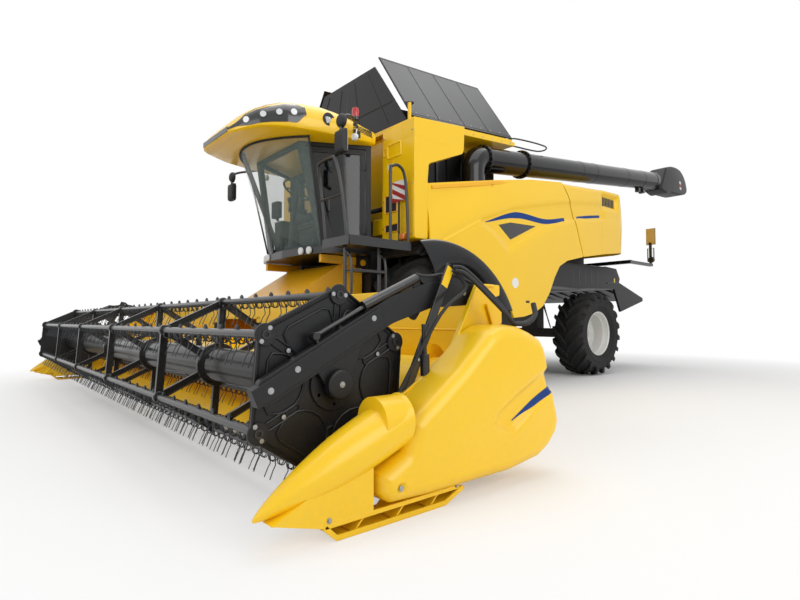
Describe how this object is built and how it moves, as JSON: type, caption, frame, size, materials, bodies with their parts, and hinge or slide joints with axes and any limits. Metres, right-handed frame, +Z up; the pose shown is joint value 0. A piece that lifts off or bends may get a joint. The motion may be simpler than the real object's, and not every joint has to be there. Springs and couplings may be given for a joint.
{
  "type": "combine_harvester",
  "caption": "Combine harvester with a wide grain header on the ground, glazed cab, open grain tank flaps and an unloading auger folded back.",
  "frame": {"origin": "On the ground under the middle of the machine with its header and folded auger.", "axes": "+X is the left side of the machine, with the ladder and the unloading auger; it drives towards -Y; +Z is up."},
  "size_m": [8.1, 11.305, 4.5055],
  "materials": {
    "yellow_paint": "gloss enamel",
    "black_paint": "satin enamel",
    "black_plastic": "fine-grained moulding",
    "tyre_rubber": "matt tread rubber",
    "grey_rim": "satin enamel",
    "cab_glass": "clear tinted sheet",
    "seat_cloth": "woven cloth",
    "bare_steel": "worn bare steel"
  },
  "bodies": {
    "machine": {"threshing_body": "black_paint", "engine": "black_paint", "front_axle": "black_paint", "rear_axle": "black_paint", "rear_body": "yellow_paint", "front_fender_left": "black_plastic", "front_fender_right": "black_plastic", "straw_chopper": "black_paint", "rear_marker_frame": "black_paint", "grain_tank": "yellow_paint", "tower_left": "yellow_paint", "tower_right": "yellow_paint", "cab_floor": "black_paint", "cab_frame": "black_plastic", "windscreen": "cab_glass", "cab_roof": "yellow_paint", "operator_seat": "seat_cloth", "steering_column": "black_plastic", "platform_left": "black_paint", "ladder": "black_paint", "mirror_left": "black_plastic", "mirror_right": "black_plastic", "auger_base": "black_paint"},
    "wheel_front_left": {"tyre_front_left": "tyre_rubber", "rim_front_left": "grey_rim"},
    "wheel_front_right": {"tyre_front_right": "tyre_rubber", "rim_front_right": "grey_rim"},
    "steering_left": {"steering_knuckle_left": "black_paint"},
    "steering_right": {"steering_knuckle_right": "black_paint"},
    "wheel_rear_left": {"tyre_rear_left": "tyre_rubber", "rim_rear_left": "grey_rim"},
    "wheel_rear_right": {"tyre_rear_right": "tyre_rubber", "rim_rear_right": "grey_rim"},
    "panel_left": {"side_panel_left": "yellow_paint"},
    "panel_right": {"side_panel_right": "yellow_paint"},
    "flap_left": {"tank_flap_left": "black_paint"},
    "flap_right": {"tank_flap_right": "black_paint"},
    "flap_front": {"tank_flap_front": "black_paint"},
    "flap_rear": {"tank_flap_rear": "black_paint"},
    "door": {"cab_door": "black_plastic"},
    "auger": {"unloading_auger": "black_paint", "auger_spout": "black_paint"},
    "header": {"feeder_house": "yellow_paint", "header_table": "yellow_paint", "header_end_left": "yellow_paint", "header_end_right": "yellow_paint", "header_shield_left": "yellow_paint", "header_shield_right": "yellow_paint"},
    "knife": {"knife": "bare_steel"},
    "table_auger": {"table_auger": "yellow_paint"},
    "reel_arms": {"reel_arm_left": "black_paint", "reel_arm_right": "black_paint"},
    "reel": {"reel": "black_paint"},
    "bar_1": {"tine_bar_1": "black_paint"},
    "bar_2": {"tine_bar_2": "black_paint"},
    "bar_3": {"tine_bar_3": "black_paint"},
    "bar_4": {"tine_bar_4": "black_paint"},
    "bar_5": {"tine_bar_5": "black_paint"},
    "bar_6": {"tine_bar_6": "black_paint"}
  },
  "joints": [
    {"name": "front_wheel_left", "type": "hinge", "parent": "machine", "child": "wheel_front_left", "pos_m": [1.2, -1.9675, 0.91], "axis": [1, 0, 0], "continuous": true},
    {"name": "front_wheel_right", "type": "hinge", "parent": "machine", "child": "wheel_front_right", "pos_m": [-1.2, -1.9675, 0.91], "axis": [1, 0, 0], "continuous": true},
    {"name": "steer_left", "type": "hinge", "parent": "machine", "child": "steering_left", "pos_m": [0.79, 1.7825, 0.705], "axis": [0, 0, 1], "range_deg": [-40, 40]},
    {"name": "steer_right", "type": "hinge", "parent": "machine", "child": "steering_right", "pos_m": [-0.79, 1.7825, 0.705], "axis": [0, 0, 1], "range_deg": [-40, 40]},
    {"name": "rear_wheel_left", "type": "hinge", "parent": "steering_left", "child": "wheel_rear_left", "pos_m": [1.11, 1.7825, 0.705], "axis": [1, 0, 0], "continuous": true},
    {"name": "rear_wheel_right", "type": "hinge", "parent": "steering_right", "child": "wheel_rear_right", "pos_m": [-1.11, 1.7825, 0.705], "axis": [1, 0, 0], "continuous": true},
    {"name": "side_panel_left", "type": "hinge", "parent": "machine", "child": "panel_left", "pos_m": [1.535, -1.4175, 2.727], "axis": [0, -0.981, -0.1943], "range_deg": [0, 60]},
    {"name": "side_panel_right", "type": "hinge", "parent": "machine", "child": "panel_right", "pos_m": [-1.535, -1.4175, 2.727], "axis": [0, 0.981, 0.1943], "range_deg": [0, 60]},
    {"name": "tank_flap_left", "type": "hinge", "parent": "machine", "child": "flap_left", "pos_m": [1.285, -1.4675, 3.531], "axis": [0, -1, 0], "range_deg": [0, 50]},
    {"name": "tank_flap_right", "type": "hinge", "parent": "machine", "child": "flap_right", "pos_m": [-1.285, -1.4675, 3.531], "axis": [0, 1, 0], "range_deg": [0, 50]},
    {"name": "tank_flap_front", "type": "hinge", "parent": "machine", "child": "flap_front", "pos_m": [0, -2.4815, 3.3314], "axis": [-1, 0, 0], "range_deg": [0, 80]},
    {"name": "tank_flap_rear", "type": "hinge", "parent": "machine", "child": "flap_rear", "pos_m": [0, -0.5085, 3.5], "axis": [1, 0, 0], "range_deg": [0, 90]},
    {"name": "cab_door", "type": "hinge", "parent": "machine", "child": "door", "pos_m": [0.9303, -2.8676, 2.4], "axis": [0, 0, 1], "range_deg": [0, 75]},
    {"name": "unloading_auger", "type": "hinge", "parent": "machine", "child": "auger", "pos_m": [1.2, -1.2875, 2.6], "axis": [0, 0, -1], "range_deg": [0, 100]},
    {"name": "header_lift", "type": "hinge", "parent": "machine", "child": "header", "pos_m": [0, -2.7575, 1.63], "axis": [-1, 0, 0], "range_deg": [0, 20]},
    {"name": "knife_stroke", "type": "slide", "parent": "header", "child": "knife", "axis": [1, 0, 0], "range_m": [-0.038, 0.038]},
    {"name": "table_auger", "type": "hinge", "parent": "header", "child": "table_auger", "pos_m": [0, -4.3475, 0.5], "axis": [1, 0, 0], "continuous": true},
    {"name": "reel_lift", "type": "hinge", "parent": "header", "child": "reel_arms", "pos_m": [0, -4.1175, 1.08], "axis": [-1, 0, 0], "range_deg": [0, 20]},
    {"name": "reel_spin", "type": "hinge", "parent": "reel_arms", "child": "reel", "pos_m": [0, -5.1275, 0.613], "axis": [1, 0, 0], "continuous": true},
    {"name": "bar_1_turn", "type": "hinge", "parent": "reel", "child": "bar_1", "pos_m": [0, -5.09716, 1.04694], "axis": [1, 0, 0], "continuous": true},
    {"name": "bar_2_turn", "type": "hinge", "parent": "reel", "child": "bar_2", "pos_m": [0, -5.48813, 0.85625], "axis": [1, 0, 0], "continuous": true},
    {"name": "bar_3_turn", "type": "hinge", "parent": "reel", "child": "bar_3", "pos_m": [0, -5.51848, 0.42231], "axis": [1, 0, 0], "continuous": true},
    {"name": "bar_4_turn", "type": "hinge", "parent": "reel", "child": "bar_4", "pos_m": [0, -5.15784, 0.17906], "axis": [1, 0, 0], "continuous": true},
    {"name": "bar_5_turn", "type": "hinge", "parent": "reel", "child": "bar_5", "pos_m": [0, -4.76687, 0.36975], "axis": [1, 0, 0], "continuous": true},
    {"name": "bar_6_turn", "type": "hinge", "parent": "reel", "child": "bar_6", "pos_m": [0, -4.73652, 0.80369], "axis": [1, 0, 0], "continuous": true}
  ],
  "couplings": [
    {"joint": "steer_right", "follows": "steer_left", "ratio": 1},
    {"joint": "bar_1_turn", "follows": "reel_spin", "ratio": -1},
    {"joint": "bar_2_turn", "follows": "reel_spin", "ratio": -1},
    {"joint": "bar_3_turn", "follows": "reel_spin", "ratio": -1},
    {"joint": "bar_4_turn", "follows": "reel_spin", "ratio": -1},
    {"joint": "bar_5_turn", "follows": "reel_spin", "ratio": -1},
    {"joint": "bar_6_turn", "follows": "reel_spin", "ratio": -1}
  ]
}
